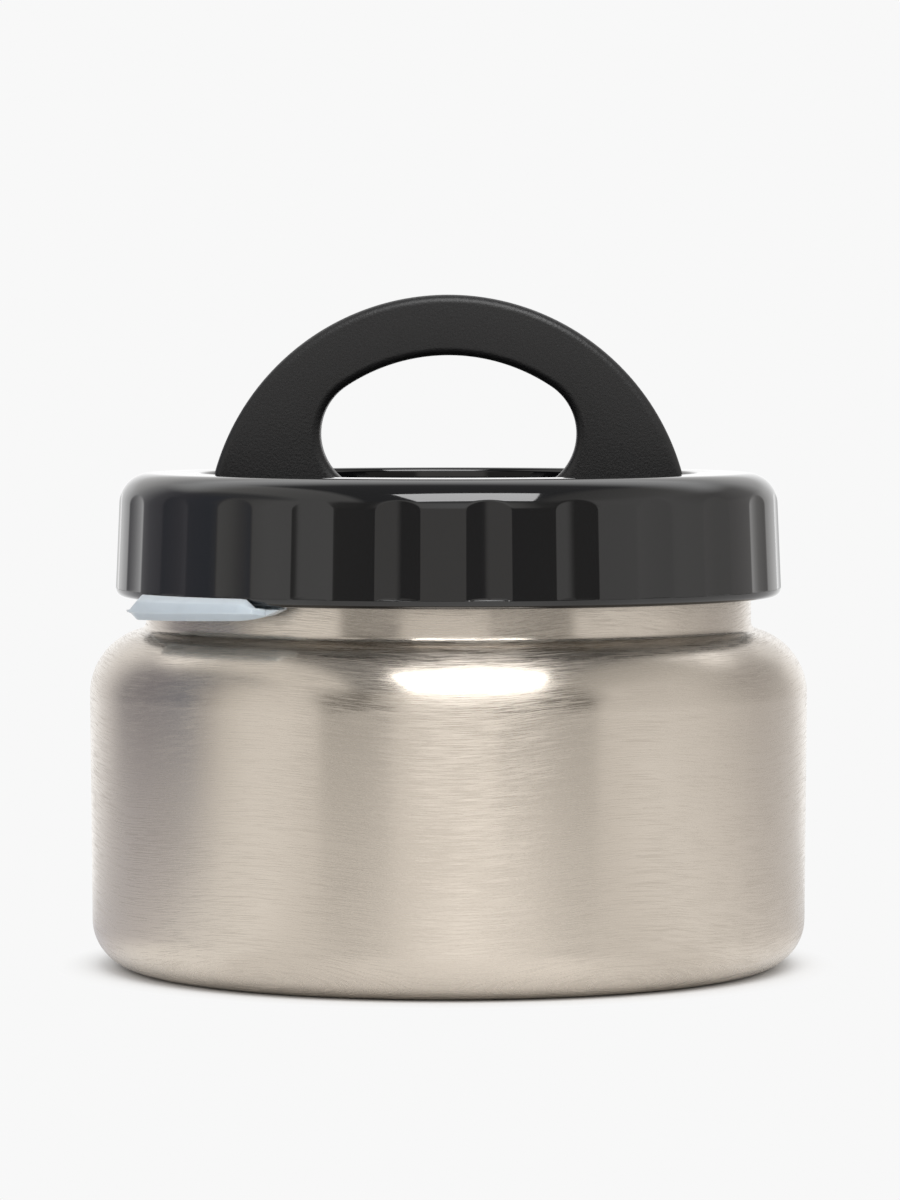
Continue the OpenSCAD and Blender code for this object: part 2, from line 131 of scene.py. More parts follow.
def piece(name, verts, faces, material, body, replaces=()):
    """A smooth object, from points in millimetres, that rides on a body and may stand for
    nodes."""
    mesh = bpy.data.meshes.new(name)
    mesh.from_pydata([tuple(MM * c for c in v) for v in verts], [], faces)
    clean(mesh)
    return dress(bpy.data.objects.new(name, mesh), material, body, replaces)


def clean(mesh):
    """Merges doubles and points all faces outwards."""
    bm = bmesh.new()
    bm.from_mesh(mesh)
    bmesh.ops.remove_doubles(bm, verts=bm.verts, dist=SAME_POINT)
    bmesh.ops.dissolve_degenerate(bm, edges=bm.edges, dist=NO_EDGE)
    bmesh.ops.recalc_face_normals(bm, faces=bm.faces)
    bm.to_mesh(mesh)
    bm.free()


def dress(obj, material, body, replaces=()):
    """Gives an object its material, smooth faces with sharp corners, and its body."""
    if obj.name not in bpy.context.scene.objects:
        bpy.context.scene.collection.objects.link(obj)
    obj.data.materials.clear()
    obj.data.materials.append(material)
    obj.data.shade_smooth()
    obj.data.set_sharp_from_angle(angle=math.radians(SHARP))
    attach(obj, body)
    if replaces:
        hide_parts(*replaces)
    return obj


def spun(profile, closed, turns):
    """Vertices and faces of a profile of (radius, height) points turned about the axis,
    at the given angles in degrees. A closed profile is a loop."""
    ring, n = np.radians(turns), len(profile)
    verts = [(r * math.cos(t), r * math.sin(t), z) for t in ring for r, z in profile]
    faces = []
    for k in range(len(ring)):
        a, b = k * n, (k + 1) % len(ring) * n
        for i in range(n if closed else n - 1):
            j = (i + 1) % n
            faces.append((a + i, a + j, b + j, b + i))
    return verts, faces


def turned(name, profile, material, body, replaces=(), closed=True):
    """A turned piece."""
    verts, faces = spun(profile, closed, ALL_ROUND)
    return piece(name, verts, faces, material, body, replaces)


def wall(foot, base_z, corner, arc_r, neck, crease, top_z):
    """A jar's outline from its base corner over the shoulder and crease to the neck's top."""
    low = (foot - corner, base_z + corner)
    dx, dy = SHOULDER_AT[0] - low[0], SHOULDER_AT[1] - low[1]
    touch = math.degrees(math.atan2(dy, dx)
                         - math.acos((corner - arc_r) / math.hypot(dx, dy)))
    reach = neck + crease - SHOULDER_AT[0]
    centre = (neck + crease, SHOULDER_AT[1] + math.sqrt((arc_r + crease) ** 2 - reach ** 2))
    meet = math.degrees(math.atan2(centre[1] - SHOULDER_AT[1], reach))
    return (arc(low, corner, -90, touch, steps=16)
            + arc(SHOULDER_AT, arc_r, touch, meet, steps=24)
            + arc(centre, crease, 180 + meet, 180, steps=8)[1:] + [(neck, top_z)])


# ---- Geometry Nodes and shader nodes ----

def output(value):
    """Where a link starts: a node's first open output, or the output that is given."""
    if isinstance(value, bpy.types.Node):
        return next(out for out in value.outputs if out.enabled)
    return value


def node(tree, kind, inputs=(), **settings):
    """Adds a node with its settings. inputs holds values, outputs or nodes for its sockets,
    in order or by the socket's name or number."""
    made = tree.nodes.new(kind)
    for key, value in settings.items():
        setattr(made, key, value)
    if not isinstance(inputs, dict):
        inputs = dict(enumerate(inputs))
    for key, value in inputs.items():
        value = output(value)
        if isinstance(value, bpy.types.NodeSocket):
            tree.links.new(value, made.inputs[key])
        else:
            made.inputs[key].default_value = value
    return made


def geometry_tree(name, sizes):
    """A Geometry Nodes tree with named inputs; returns the tree and its inputs' sockets."""
    tree = bpy.data.node_groups.new(name, "GeometryNodeTree")
    face = tree.interface
    face.new_socket("Geometry", in_out="INPUT", socket_type="NodeSocketGeometry")
    face.new_socket("Material", in_out="INPUT", socket_type="NodeSocketMaterial")
    for key in sizes:
        face.new_socket(key, in_out="INPUT", socket_type="NodeSocketFloat")
    face.new_socket("Geometry", in_out="OUTPUT", socket_type="NodeSocketGeometry")
    return tree, node(tree, "NodeGroupInput").outputs


def grown(obj, tree, sizes, material):
    """Runs a tree on an object and leaves the result as its plain mesh."""
    modifier = obj.modifiers.new(tree.name, "NODES")
    modifier.node_group = tree
    values = dict(sizes, Material=material)
    for item in tree.interface.items_tree:
        if item.in_out == "INPUT" and item.name in values:
            modifier[item.identifier] = values[item.name]
    bpy.context.view_layer.update()
    seen = obj.evaluated_get(bpy.context.evaluated_depsgraph_get())
    mesh = bpy.data.meshes.new_from_object(seen)
    obj.modifiers.clear()
    obj.data = mesh
    return obj


def finish_tree(tree, geometry, material):
    """Ends a tree with Realize Instances and Set Material."""
    real = node(tree, "GeometryNodeRealizeInstances", {"Geometry": geometry})
    done = node(tree, "GeometryNodeSetMaterial", {"Geometry": real, "Material": material})
    node(tree, "NodeGroupOutput", {"Geometry": done})


# ---- Materials ----

# Most values of a noise lie between these
NOISE_LOW, NOISE_HIGH = 0.3, 0.7


def colour(text):
    """An sRGB hex colour as the linear values that Blender's sockets take."""
    values = [int(text[i:i + 2], 16) / 255 for i in (1, 3, 5)]
    return [v / 12.92 if v <= 0.04045 else ((v + 0.055) / 1.055) ** 2.4 for v in values] + [1]


def surface(name, base, **settings):
    """A material with its shader set; returns it, its tree, the shader and the place."""
    material = bpy.data.materials.new(name)
    material.use_nodes = True
    tree = material.node_tree
    tree.nodes.clear()
    shader = node(tree, "ShaderNodeBsdfPrincipled", {"Base Color": colour(base)})
    for key, value in settings.items():
        shader.inputs[key.replace("_", " ")].default_value = value
    node(tree, "ShaderNodeOutputMaterial", {"Surface": shader.outputs[0]})
    place = node(tree, "ShaderNodeTexCoord").outputs["Object"]
    return material, tree, shader, place


def connect(tree, shader, **made):
    """Links nodes to the shader's sockets of the same names."""
    for key, value in made.items():
        tree.links.new(output(value), shader.inputs[key.replace("_", " ")])


def varied(tree, base, factor, darker, lighter):
    """The base colour, as a factor takes it from its darker to its lighter tone."""
    low, high = ([min(1, c * share) for c in colour(base)[:3]] + [1]
                 for share in (darker, lighter))
    return node(tree, "ShaderNodeMix", {"Factor": factor, 6: low, 7: high}, data_type="RGBA")


# The belt's two passes: the length of a scratch on the jar's wall in metres, the scratches'
# spacing against the given one, how far they wander up and down as a share of the radius,
# and the pass's share of the height
PASSES = [(0.006, 1.0, 0.024, 0.65), (0.009, 2.0, 0.008, 0.35)]
# How often a scratch wanders up and down in one turn
WANDERS = 6.0
# The height up to which the metal stays smooth, and from which it is scratched rough
SMOOTH_TO, ROUGH_FROM = 0.48, 0.58
# The heights between which its tint runs from dark to light
DARK_TO, LIGHT_FROM = 0.35, 0.65
# Cloudy patches in the brushing: 18 mm across, which makes 55 to the metre
CLOUDS, CLOUD_HEIGHT = 55.0, 0.04


def brushed(name, base, smooth, rough, line, depth, anisotropic):
    """Metal brushed round its axis: fine rough scratches that follow the circumference,
    between strips that stay smooth. line is the scratches' spacing and depth is how deep
    they are, in metres."""
    material, tree, shader, place = surface(name, base, Metallic=1.0, Roughness=rough,
                                            Anisotropic=anisotropic, Anisotropic_Rotation=0.25)
    x, y, z = node(tree, "ShaderNodeSeparateXYZ", (place,)).outputs
    flat = node(tree, "ShaderNodeCombineXYZ", (x, y))
    radius = node(tree, "ShaderNodeVectorMath", (flat,), operation="LENGTH")
    across = node(tree, "ShaderNodeMath", (z, radius), operation="SUBTRACT")
    turn = node(tree, "ShaderNodeMath", (y, x), operation="ARCTAN2")
    swing = node(tree, "ShaderNodeMath", (turn, WANDERS), operation="MULTIPLY")
    swing = node(tree, "ShaderNodeMath", (swing,), operation="COSINE")
    wander = node(tree, "ShaderNodeMath", (radius, swing), operation="MULTIPLY")
    heights = []
    for length, share, slant, weight in PASSES:
        lie = []
        for axis in (x, y):
            part = node(tree, "ShaderNodeMath", (axis, radius), operation="DIVIDE")
            lie.append(node(tree, "ShaderNodeMath", (part, BODY_R * MM / length),
                            operation="MULTIPLY"))
        drift = node(tree, "ShaderNodeMath", (wander, slant), operation="MULTIPLY")
        drift = node(tree, "ShaderNodeMath", (across, drift), operation="SUBTRACT")
        lie.append(node(tree, "ShaderNodeMath", (drift, 1 / (line * share)),
                        operation="MULTIPLY"))
        scratches = node(tree, "ShaderNodeTexNoise", {
            "Vector": node(tree, "ShaderNodeCombineXYZ", lie), "Scale": 1.0, "Detail": 2.0,
            "Roughness": 0.6})
        heights.append(node(tree, "ShaderNodeMath", (scratches, weight),
                            operation="MULTIPLY"))
    height = node(tree, "ShaderNodeMath", heights, operation="ADD")
    cloud = node(tree, "ShaderNodeTexNoise", {"Vector": place, "Scale": CLOUDS})
    cloud = node(tree, "ShaderNodeMapRange", {
        "Value": cloud, "From Min": NOISE_LOW, "From Max": NOISE_HIGH,
        "To Min": -CLOUD_HEIGHT, "To Max": CLOUD_HEIGHT})
    scratched = node(tree, "ShaderNodeMath", (height, cloud), operation="ADD")
    shade = node(tree, "ShaderNodeMapRange", {
        "Value": height, "From Min": DARK_TO, "From Max": LIGHT_FROM})
    connect(tree, shader,
            Base_Color=varied(tree, base, shade, darker=0.97, lighter=1.03),
            Roughness=node(tree, "ShaderNodeMapRange", {
                "Value": scratched, "From Min": SMOOTH_TO, "From Max": ROUGH_FROM,
                "To Min": smooth, "To Max": rough}),
            Normal=node(tree, "ShaderNodeBump", {
                "Height": height, "Distance": depth, "Strength": 1.0}),
            Tangent=node(tree, "ShaderNodeTangent", direction_type="RADIAL", axis="Z"))
    return material


def moulded(name, base, rough, grain, depth, **settings):
    """Moulded plastic, or glass, powder or foam, with a grain of so many metres and so deep,
    and a gloss that differs a little in patches 25 mm across."""
    material, tree, shader, place = surface(name, base, Roughness=rough, **settings)
    fine = node(tree, "ShaderNodeTexNoise", {
        "Vector": place, "Scale": 1 / grain, "Detail": 3.0, "Roughness": 0.6})
    patches = node(tree, "ShaderNodeTexNoise", {"Vector": place, "Scale": 1 / (25 * MM)})
    connect(tree, shader,
            Base_Color=varied(tree, base, fine, darker=0.85, lighter=1.15),
            Roughness=node(tree, "ShaderNodeMapRange", {
                "Value": patches, "From Min": NOISE_LOW, "From Max": NOISE_HIGH,
                "To Min": rough * 0.9, "To Max": rough * 1.12}),
            Normal=node(tree, "ShaderNodeBump", {
                "Height": fine, "Distance": depth, "Strength": 1.0}))
    return material


def silicone(name, base, rough):
    """Moulded silicone: light enters 1.5 mm deep and scatters, cloudy over 3 mm, and the
    faces have a faint satin grain of 0.4 mm."""
    material, tree, shader, place = surface(
        name, base, Roughness=rough, IOR=1.41, Subsurface_Weight=0.8,
        Subsurface_Scale=1.5 * MM, Transmission_Weight=0.12)
    shader.inputs["Subsurface Radius"].default_value = (1.0, 1.0, 1.0)
    cloud = node(tree, "ShaderNodeTexNoise", {"Vector": place, "Scale": 300.0, "Detail": 3.0})
    grain = node(tree, "ShaderNodeTexNoise", {"Vector": place, "Scale": 1 / (0.4 * MM)})
    connect(tree, shader,
            Base_Color=varied(tree, base, cloud, darker=0.94, lighter=1.05),
            Normal=node(tree, "ShaderNodeBump", {
                "Height": grain, "Distance": 0.01 * MM, "Strength": 1.0}))
    return material


# 304 stainless steel, brushed round the jar with a fine belt: soft stretched reflections, in
# scratches 0.06 and 0.12 mm apart, close to real ones
BRUSHED_STEEL = brushed("brushed stainless steel", "#cdc4b9", smooth=0.18, rough=0.45,
                        line=0.06 * MM, depth=0.0004 * MM, anisotropic=0.82)
# The same steel electropolished inside: brighter, with hardly any lines, which are drawn
# coarser than the real 0.05 mm
SATIN_STEEL = brushed("electropolished stainless steel", "#d2cec8", smooth=0.15, rough=0.25,
                      line=0.4 * MM, depth=0.004 * MM, anisotropic=0.3)
# Polypropylene from a polished mould: near-black, with sharp clear reflections that its faces
# bend a little over 6 mm
GLOSS_PLASTIC = moulded("polished black polypropylene", "#08080a", rough=0.05,
                        grain=6 * MM, depth=0.004 * MM, IOR=1.6)
# The same plastic from a bead-blasted mould, its grain drawn coarser than the real 0.1 mm
SATIN_PLASTIC = moulded("satin black polypropylene", "#141416", rough=0.38,
                        grain=0.6 * MM, depth=0.01 * MM)
# Nylon from a spark-eroded mould: a dense grain that breaks the highlights up, drawn coarser
# than the real 0.15 mm
GRAIN_PLASTIC = moulded("spark-eroded black nylon", "#0b0b0d", rough=0.43,
                        grain=0.45 * MM, depth=0.06 * MM)
# Platinum-cured silicone with a pale blue pigment, cloudy and faintly glossy
BLUE_SILICONE = silicone("pale blue silicone", "#c8d2da", rough=0.33)
# Unpigmented silicone
CLEAR_SILICONE = silicone("clear silicone", "#d6dadb", rough=0.3)
# Rolled copper foil, bright and slightly creased, its creases drawn coarser than real ones
COPPER = brushed("rolled copper foil", "#c98a62", smooth=0.18, rough=0.28,
                 line=0.6 * MM, depth=0.02 * MM, anisotropic=0.2)
# Fused solder glass, dark green-grey and glossy, wavy over 2 mm
SOLDER_GLASS = moulded("fused solder glass", "#42574f", rough=0.12,
                       grain=2 * MM, depth=0.03 * MM)
# Cold-drawn spring steel wire and strip, its lines drawn coarser than the real 0.05 mm
SPRING_STEEL = brushed("drawn spring steel", "#bdbdc0", smooth=0.15, rough=0.25,
                       line=0.3 * MM, depth=0.005 * MM, anisotropic=0.2)
# Pressed zirconium powder: dull and finely pitted
GETTER = moulded("pressed zirconium powder", "#57595c", rough=0.7,
                 grain=0.3 * MM, depth=0.04 * MM)
# Closed-cell polyethylene foam, chalky with small cells
FOAM = moulded("closed-cell polyethylene foam", "#e4dfd0", rough=0.85,
               grain=0.9 * MM, depth=0.15 * MM)
# Acetal sheet, waxy off-white
ACETAL = moulded("punched acetal sheet", "#e6e3d8", rough=0.4,
                 grain=0.5 * MM, depth=0.01 * MM)

for name, material in {
        "radiation_foil": COPPER, "vacuum_base": SATIN_STEEL, "port_seal": SOLDER_GLASS,
        "getter_clip": SPRING_STEEL, "getter_pill": GETTER, "lid_foam": FOAM,
        "hinge_pin_left": SPRING_STEEL, "hinge_pin_right": SPRING_STEEL,
        "friction_washer_left": ACETAL, "friction_washer_right": ACETAL}.items():
    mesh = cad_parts[name].data
    mesh.materials.clear()
    mesh.materials.append(material)


# ---- Jar ----

def outer_wall(inset, top_z):
    """The outer wall's outline, moved in by a thickness."""
    return wall(BODY_R - SIDE_TAPER - inset, inset, CORNER_R - inset, SHOULDER_R - inset,
                NECK_R - inset, CREASE_R + inset, top_z)


def inner_wall(inset, top_z):
    """The inner vessel's outline, moved in by a thickness."""
    return wall(LINER_R - SIDE_TAPER - inset, LINER_Z + inset, LINER_CORNER - inset,
                LINER_SHOULDER_R - inset, LIP_R + LINER_T - inset, CREASE_R + inset, top_z)


hem = soften([(HEM_R, HEM_H), (HEM_R, 0), (HEM_R + WALL_T, 0)], {1: HEM_EDGE})[:-1]
shell = (hem + outer_wall(0, SHELL_TOP_Z) + outer_wall(WALL_T, SHELL_TOP_Z)[::-1]
         + [(HEM_R + WALL_T, WALL_T), (HEM_R + WALL_T, HEM_H)])
turned("outer_wall", shell, BRUSHED_STEEL, "jar", ["outer_shell"])

lip_in = soften([(LIP_R, RIM_Z - LIP_H), (LIP_R, RIM_Z), (NECK_R - LIP_T / 2, RIM_Z)],
                {1: LIP_EDGE})[:-1]
lip = arc((NECK_R - LIP_T / 2, RIM_Z - LIP_T / 2), LIP_T / 2, -90, 90, steps=8)
vessel = ([(0, LINER_Z)] + inner_wall(0, RIM_Z - LIP_T) + lip + lip_in[::-1]
          + inner_wall(LINER_T, RIM_Z - LIP_H)[::-1] + [(0, LINER_Z + LINER_T)])
turned("inner_vessel", vessel, SATIN_STEEL, "jar", ["inner_liner"],
       closed=False)

cover = soften([
    (0, COVER_Z + DISH_DEPTH), (DISH_R - DISH_DEPTH, COVER_Z + DISH_DEPTH),
    (DISH_R, COVER_Z), (COVER_R, COVER_Z), (COVER_R, COVER_Z + COVER_T),
    (DISH_R, COVER_Z + COVER_T),
    (DISH_R - DISH_DEPTH, COVER_Z + COVER_T + DISH_DEPTH),
    (0, COVER_Z + COVER_T + DISH_DEPTH)], {1: DISH_EDGE, 2: DISH_EDGE, 3: COVER_EDGE})
turned("bottom_cover", cover, BRUSHED_STEEL, "jar", ["base_cover"],
       closed=False)


# ---- Screw threads ----

# Share of a rib's length over which each end runs out, and the size it starts from
RUN_OUT, END_SIZE = 0.07, 0.05


def thread_tree():
    """Ribs that wind round the axis: a spiral for each start, swept with a rounded section
    that shrinks at both ends."""
    tree, given = geometry_tree("screw thread", (
        "Radius", "Height", "Turn", "Span", "Lead", "Rib width", "Rib height", "Starts"))
    turns = node(tree, "ShaderNodeMath", (given["Span"], 2 * math.pi), operation="DIVIDE")
    path = node(tree, "GeometryNodeCurveSpiral", {
        "Resolution": 160, "Rotations": turns, "Start Radius": given["Radius"],
        "End Radius": given["Radius"], "Reverse": False,
        "Height": node(tree, "ShaderNodeMath", (turns, given["Lead"]), operation="MULTIPLY")})
    along = node(tree, "GeometryNodeSplineParameter").outputs["Factor"]
    from_middle = node(tree, "ShaderNodeMath", (along, 0.5), operation="SUBTRACT")
    from_middle = node(tree, "ShaderNodeMath", (from_middle,), operation="ABSOLUTE")
    from_end = node(tree, "ShaderNodeMath", (0.5, from_middle), operation="SUBTRACT")
    run_out = node(tree, "ShaderNodeMapRange", {
        "Value": from_end, "From Min": 0.0, "From Max": RUN_OUT, "To Min": END_SIZE,
        "To Max": 1.0}, interpolation_type="SMOOTHSTEP")
    half_width = node(tree, "ShaderNodeMath", (given["Rib width"], 0.5), operation="MULTIPLY")
    section = node(tree, "GeometryNodeTransform", {
        "Geometry": node(tree, "GeometryNodeCurvePrimitiveCircle", {
            "Resolution": 20, "Radius": 1.0}),
        "Scale": node(tree, "ShaderNodeCombineXYZ", (given["Rib height"], half_width, 1.0))})
    rib = node(tree, "GeometryNodeCurveToMesh", {
        "Curve": node(tree, "GeometryNodeSetCurveNormal", {"Curve": path}, mode="Z_UP"),
        "Profile Curve": section, "Scale": run_out, "Fill Caps": True})
    which = node(tree, "GeometryNodeInputIndex")
    turn = node(tree, "ShaderNodeMath", (which, 2 * math.pi), operation="MULTIPLY")
    turn = node(tree, "ShaderNodeMath", (turn, given["Starts"]), operation="DIVIDE")
    turn = node(tree, "ShaderNodeMath", (given["Turn"], turn), operation="ADD")
    ribs = node(tree, "GeometryNodeInstanceOnPoints", {
        "Points": node(tree, "GeometryNodeMeshLine", {"Count": STARTS, "Offset": (0, 0, 0)}),
        "Instance": rib, "Rotation": node(tree, "ShaderNodeCombineXYZ", {2: turn})})
    ribs = node(tree, "GeometryNodeTransform", {
        "Geometry": ribs,
        "Translation": node(tree, "ShaderNodeCombineXYZ", {2: given["Height"]})})
    finish_tree(tree, ribs, given["Material"])
    return tree


THREAD_TREE = thread_tree()


def thread(name, radius, ribs, material, body):
    """One piece's thread ribs."""
    span, rib_h, start_z, turn = ribs
    obj = bpy.data.objects.new(name, bpy.data.meshes.new(name))
    bpy.context.scene.collection.objects.link(obj)
    grown(obj, THREAD_TREE, {
        "Radius": radius * MM, "Height": start_z * MM, "Turn": math.radians(turn),
        "Span": math.radians(span), "Lead": LEAD * MM, "Rib width": RIB_W * MM,
        "Rib height": rib_h * MM, "Starts": float(STARTS)}, material)
    clean(obj.data)
    return dress(obj, material, body)


thread("neck_thread", NECK_R, NECK_RIBS, BRUSHED_STEEL, "jar")


# ---- Lid ----

# Columns of the lid's mesh over half a flute's sector, in degrees, closer at its edge
HALF_SECTOR = [0, 1.2, 2.2, 2.8, 3.1, 3.3, 3.45, 3.6, 3.75, 3.9, 4.05, 4.25, 4.5, 4.85,
               5.3, 5.8, 6.4, 7.0]
# Rows of the mesh over the skirt's plain band, closer where the flutes start
SKIRT_ROWS = [-0.1, -0.03, 0.03, 0.1, 0.5, 2, 4, 6, 8, 10, 12, 13.4]
# Rows over the rounded top edge, in degrees and steps, closer where the flutes run out
CORNER_ROWS = [(DRAFT, 11, 4), (12, 31, 22), (33, 90, 16)]
# How far a row on the recess's wall lies under the lid's top
MOUTH_ROW = 2
# Vertices further in than this many cutter radii from the cutter's axis don't move
CUTTER_REACH = 1.08


def lid_columns():
    """Angles of the mesh's columns round the whole lid."""
    sector = 360 / FLUTES
    half = HALF_SECTOR + [sector / 2] + [sector - a for a in HALF_SECTOR[:0:-1]]
    return [i * sector + a for i in range(FLUTES) for a in half]


def lid_profile():
    """The lid's closed section, from the axis under the recess round to the recess's floor,
    with rows set close where the flutes start and run out."""
    inside = soften([
        (0, CUP_Z), (CUP_R, CUP_Z), (CUP_R, UNDER_TOP), (SKIRT_IN_R, UNDER_TOP),
        (SKIRT_IN_R, LID_Z), (LID_R - FOOT_R, LID_Z)],
        {1: CUP_EDGE, 2: CUP_EDGE, 3: CUP_EDGE, 4: SKIRT_EDGE})
    foot = arc((LID_R - FOOT_R, LID_Z + FOOT_R), FOOT_R, -90, DRAFT, steps=8)
    corner = [p for rows in CORNER_ROWS for p in arc(CORNER_AT, TOP_CORNER_R, *rows)]
    low, high = np.array(foot[-1]), np.array(corner[0])
    skirt = [tuple(low + (high - low) * (LID_Z + BAND_H + row - low[1]) / (high[1] - low[1]))
             for row in SKIRT_ROWS]
    mouth = arc((RECESS_R + MOUTH_R, LID_TOP - MOUTH_R), MOUTH_R, 90, 180, steps=7)
    floor = soften([(RECESS_R, LID_TOP - MOUTH_ROW), (RECESS_R, RECESS_Z), (0, RECESS_Z)],
                   {1: RECESS_EDGE})
    return inside[:-1] + foot + skirt + corner + mouth + floor


def flute_tree():
    """Scallops pressed into the skirt: each vertex moves in to the nearer of the skirt and
    the leaning round cutter of its sector."""
    tree, given = geometry_tree("grip flutes", (
        "Count", "Cutter radius", "Cutter at", "Lean", "Band top", "Edge softness"))
    x, y, z = node(tree, "ShaderNodeSeparateXYZ", (
        node(tree, "GeometryNodeInputPosition"),)).outputs
    square_x = node(tree, "ShaderNodeMath", (x, x), operation="MULTIPLY")
    square_y = node(tree, "ShaderNodeMath", (y, y), operation="MULTIPLY")
    radius = node(tree, "ShaderNodeMath", (square_x, square_y), operation="ADD")
    radius = node(tree, "ShaderNodeMath", (radius,), operation="SQRT")
    # The vertex's angle from the middle of its sector, and its place along and across it
    sector = node(tree, "ShaderNodeMath", (2 * math.pi, given["Count"]), operation="DIVIDE")
    turn = node(tree, "ShaderNodeMath", (y, x), operation="ARCTAN2")
    turn = node(tree, "ShaderNodeMath", (turn, sector), operation="DIVIDE")
    turn = node(tree, "ShaderNodeMath", (turn,), operation="FRACT")
    turn = node(tree, "ShaderNodeMath", (turn, 0.5), operation="SUBTRACT")
    turn = node(tree, "ShaderNodeMath", (sector, turn), operation="MULTIPLY")
    side = node(tree, "ShaderNodeMath", (turn,), operation="SINE")
    side = node(tree, "ShaderNodeMath", (radius, side), operation="MULTIPLY")
    out = node(tree, "ShaderNodeMath", (turn,), operation="COSINE")
    out = node(tree, "ShaderNodeMath", (radius, out), operation="MULTIPLY")
    # How far out the cutter's near side lies there
    square = node(tree, "ShaderNodeMath", (given["Cutter radius"], 2.0), operation="POWER")
    square_side = node(tree, "ShaderNodeMath", (side, side), operation="MULTIPLY")
    chord = node(tree, "ShaderNodeMath", (square, square_side), operation="SUBTRACT")
    chord = node(tree, "ShaderNodeMath", (0.0, chord), operation="MAXIMUM")
    chord = node(tree, "ShaderNodeMath", (chord,), operation="SQRT")
    cut = node(tree, "ShaderNodeMath", (given["Cutter at"], chord), operation="SUBTRACT")
    rise = node(tree, "ShaderNodeMath", (z, given["Band top"]), operation="SUBTRACT")
    lean = node(tree, "ShaderNodeMath", (given["Lean"],), operation="TANGENT")
    lean = node(tree, "ShaderNodeMath", (rise, lean), operation="MULTIPLY")
    cut = node(tree, "ShaderNodeMath", (cut, lean), operation="SUBTRACT")
    least = node(tree, "ShaderNodeMath", (out, cut, given["Edge softness"]),
                 operation="SMOOTH_MIN")
    # The move as a share of the radius, above the plain band only
    share = node(tree, "ShaderNodeMath", (out, SAME_POINT), operation="MAXIMUM")
    share = node(tree, "ShaderNodeMath", (least, share), operation="DIVIDE")
    share = node(tree, "ShaderNodeMath", (share, 1.0), operation="SUBTRACT")
    above = node(tree, "ShaderNodeMapRange", {
        "Value": rise, "From Min": -BAND_EDGE * MM, "From Max": BAND_EDGE * MM},
        interpolation_type="SMOOTHSTEP")
    moved = node(tree, "ShaderNodeMath", (above, share), operation="MULTIPLY")
    # Only the outside moves
    reach = node(tree, "ShaderNodeMath", (CUTTER_REACH, given["Cutter radius"]),
                 operation="MULTIPLY")
    reach = node(tree, "ShaderNodeMath", (given["Cutter at"], reach), operation="SUBTRACT")
    outside = node(tree, "ShaderNodeMath", (radius, reach), operation="GREATER_THAN")
    moved = node(tree, "ShaderNodeMath", (moved, outside), operation="MULTIPLY")
    offset = node(tree, "ShaderNodeCombineXYZ", (
        node(tree, "ShaderNodeMath", (x, moved), operation="MULTIPLY"),
        node(tree, "ShaderNodeMath", (y, moved), operation="MULTIPLY")))
    shaped = node(tree, "GeometryNodeSetPosition", {
        "Geometry": given["Geometry"], "Offset": offset})
    finish_tree(tree, shaped, given["Material"])
    return tree


def lid_shell():
    """The gloss outer moulding of the lid."""
    verts, faces = spun(lid_profile(), False, lid_columns())
    obj = piece("lid_moulding", verts, faces, GLOSS_PLASTIC, "lid")
    bulge = LID_R - math.sqrt(LID_R ** 2 - (FLUTE_W / 2) ** 2)
    cut = FLUTE_DEPTH - bulge
    cutter = ((FLUTE_W / 2) ** 2 + cut ** 2) / (2 * cut)
    grown(obj, flute_tree(), {
        "Count": float(FLUTES), "Cutter radius": cutter * MM,
        "Cutter at": (LID_R - FLUTE_DEPTH + cutter) * MM, "Lean": math.radians(FLUTE_LEAN),
        "Band top": (LID_Z + BAND_H) * MM, "Edge softness": FLUTE_EDGE * MM}, GLOSS_PLASTIC)
    return dress(obj, GLOSS_PLASTIC, "lid", ["lid_shell"])


lid_shell()

liner = soften([
    (0, PLUG_Z), (PLUG_R[1] - PLUG_CHAMFER, PLUG_Z), (PLUG_R[1], PLUG_Z + PLUG_CHAMFER),
    (PLUG_R[1], FLANGE_Z), (SLEEVE[0], FLANGE_Z), (SLEEVE[0], SLEEVE_Z),
    (SLEEVE[1], SLEEVE_Z), (SLEEVE[1], FLANGE_TOP), (PLUG_R[0], FLANGE_TOP),
    (PLUG_R[0], PLUG_FLOOR_Z), (0, PLUG_FLOOR_Z)],
    {1: PLUG_EDGE, 2: PLUG_EDGE, 3: FLANGE_EDGE, 4: FLANGE_EDGE, 5: SLEEVE_EDGE,
     6: SLEEVE_EDGE, 9: PLUG_FLOOR_EDGE})
turned("lid_lining", liner, SATIN_PLASTIC, "lid", ["lid_liner"],
       closed=False)
thread("lid_thread", SLEEVE[0], LID_RIBS, SATIN_PLASTIC, "lid")


# ---- Silicone ----

(gasket_in, gasket_out), (gasket_foot, gasket_top) = GASKET_R, GASKET_Z
gasket = soften([
    (gasket_in, gasket_foot), (gasket_out, gasket_foot), (gasket_out, gasket_top),
    (gasket_in, gasket_top), (gasket_in, (gasket_foot + gasket_top) / 2)],
    {1: GASKET_EDGE, 2: GASKET_EDGE, 3: GASKET_EDGE})
turned("rim_seal", gasket, CLEAR_SILICONE, "gasket", ["rim_gasket"])

# Section of the seal ring, whose wiping lip points down and inwards
SEAL_RING = [(52.0, 62.4), (52.85, 62.4), (52.85, 65.0), (52.2, 65.0), (51.9, 64.4),
             (52.2, 63.8), (52.0, 63.0)]
SEAL_EDGES = {1: 0.2, 2: 0.2, 3: 0.2, 4: 0.15}
